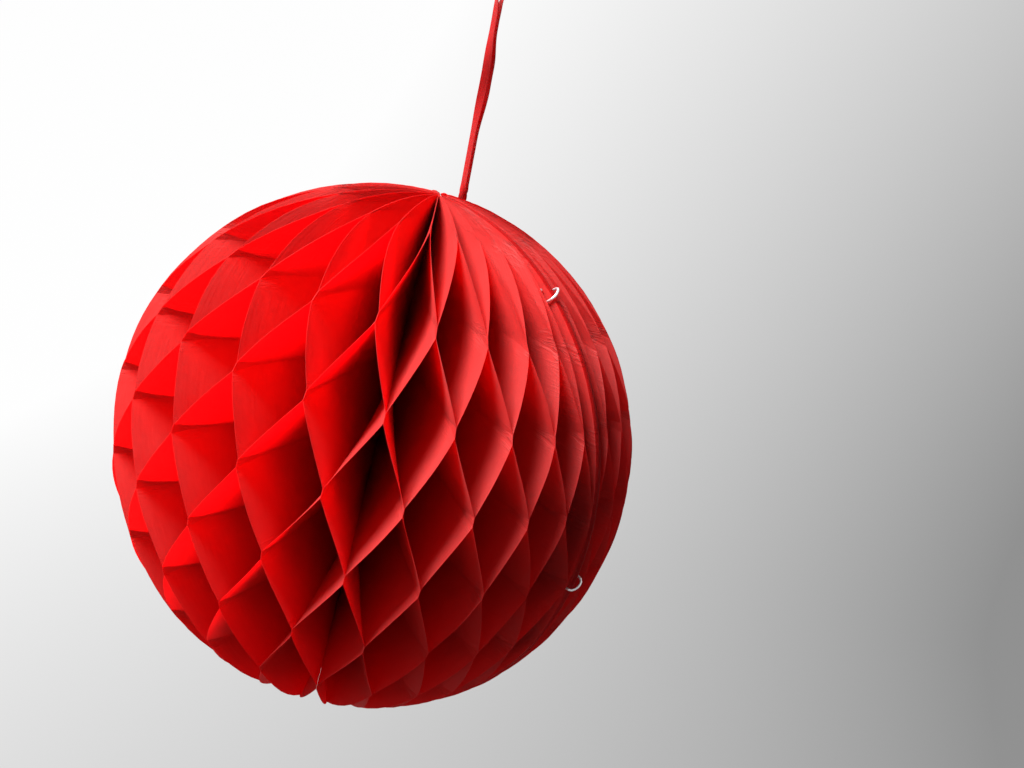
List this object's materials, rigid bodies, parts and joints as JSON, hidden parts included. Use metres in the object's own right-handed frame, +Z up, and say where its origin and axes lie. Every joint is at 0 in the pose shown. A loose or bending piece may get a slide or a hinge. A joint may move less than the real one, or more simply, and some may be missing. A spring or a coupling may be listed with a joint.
{
  "type": "honeycomb paper lantern",
  "caption": "Tissue-paper honeycomb ball opened right round from a stack of glued half-round leaves, closed by wire clips and hung on a ribbon loop.",
  "frame": {"origin": "centre of the ball", "axes": "+Z up the ball's axis to the pole that the ribbon comes out of; the side with the wide cells faces -Y; the closed seam with the clips lies towards +X and -Y"},
  "size_m": [0.1999, 0.1997, 0.2995],
  "materials": {
    "tissue": "thin matte tissue paper, light shows through",
    "card": "matte thin card",
    "thread": "plain cotton thread",
    "steel": "bright drawn wire",
    "ribbon": "narrow satin ribbon"
  },
  "bodies": {
    "root": {"honeycomb_tissue": "tissue", "front_card": "card", "back_card": "card", "binding_thread": "thread", "upper_clip": "steel", "lower_clip": "steel", "hanging_ribbon": "ribbon"}
  },
  "joints": []
}
